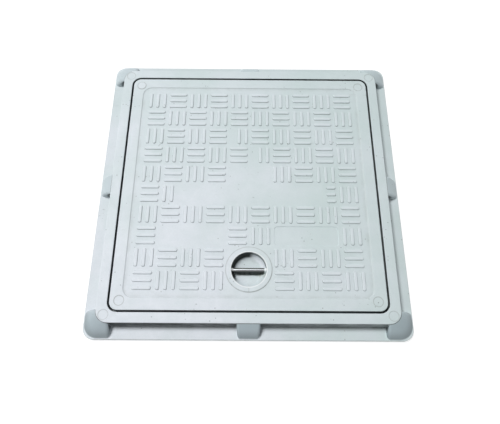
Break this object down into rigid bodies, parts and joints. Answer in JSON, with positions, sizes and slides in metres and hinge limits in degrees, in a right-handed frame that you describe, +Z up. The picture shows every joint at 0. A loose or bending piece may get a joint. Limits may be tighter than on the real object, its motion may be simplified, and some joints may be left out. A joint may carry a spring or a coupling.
{
  "type": "manhole cover and frame",
  "caption": "Square moulded composite manhole cover with a raised tread, lifted by a steel bar across a round cup, in its flanged and gusseted frame with a seat gasket.",
  "frame": {"origin": "centre of the frame's underside, on the ground", "axes": "+Z is up, out of the ground. The lifting cup is towards -Y, and +X is to the right of a person who stands at the cup's side and looks along +Y"},
  "size_m": [0.4, 0.4, 0.021],
  "materials": {
    "frame_composite": "light grey glass-fibre composite, satin moulded face with faint flow marks",
    "cover_composite": "light grey glass-fibre composite, satin moulded face with faint flow marks",
    "cup_composite": "light grey glass-fibre composite, soiled on the cup's floor",
    "bar_steel": "drawn steel, dull",
    "gasket_rubber": "matt black"
  },
  "bodies": {
    "frame": {"frame": "frame_composite", "seat_gasket": "gasket_rubber"},
    "cover": {"cover": "cover_composite", "lifting_cup": "cup_composite", "lifting_bar": "bar_steel"}
  },
  "joints": [
    {"name": "cover_lift", "type": "slide", "parent": "frame", "child": "cover", "axis": [0, 0, 1], "range_m": [0, 0.12]}
  ]
}
